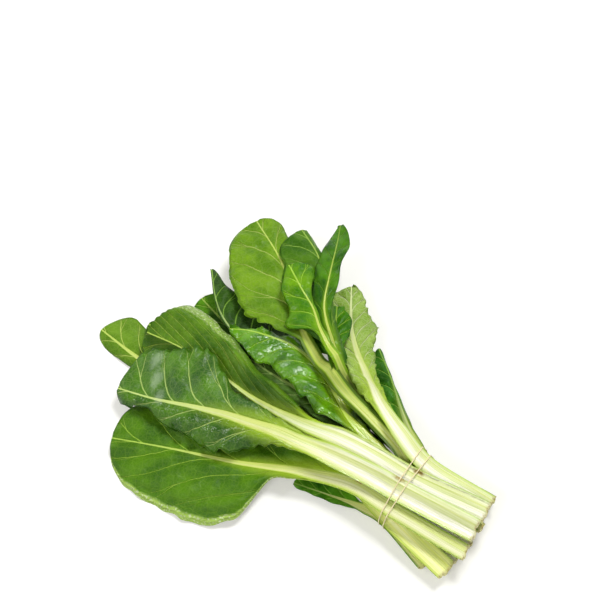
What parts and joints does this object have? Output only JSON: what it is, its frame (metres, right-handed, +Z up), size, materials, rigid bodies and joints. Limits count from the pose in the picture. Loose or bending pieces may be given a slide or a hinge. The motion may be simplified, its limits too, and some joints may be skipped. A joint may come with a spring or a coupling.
{
  "type": "swiss chard bunch",
  "caption": "Bunch of green Swiss chard lying flat: broad crinkled leaves fanning out from pale ribbed stalks that thin rubber bands hold near their cut ends.",
  "frame": {"origin": "middle of the bunch's footprint, on the surface that it lies on", "axes": "+Z up; +X along the stalks towards their cut ends, so the leaves point towards -X; +Y completes a right-handed frame"},
  "size_m": [0.4254, 0.3414, 0.067],
  "materials": {
    "chard_leaf": "satin",
    "band_rubber": "matte"
  },
  "bodies": {
    "root": {"leaf_01": "chard_leaf", "leaf_02": "chard_leaf", "leaf_03": "chard_leaf", "leaf_04": "chard_leaf", "leaf_05": "chard_leaf", "leaf_06": "chard_leaf", "leaf_07": "chard_leaf", "leaf_08": "chard_leaf", "leaf_09": "chard_leaf", "leaf_10": "chard_leaf", "leaf_11": "chard_leaf", "leaf_12": "chard_leaf", "leaf_13": "chard_leaf", "leaf_14": "chard_leaf", "leaf_15": "chard_leaf", "leaf_16": "chard_leaf", "leaf_17": "chard_leaf", "rubber_band_01": "band_rubber", "rubber_band_02": "band_rubber"}
  },
  "joints": []
}
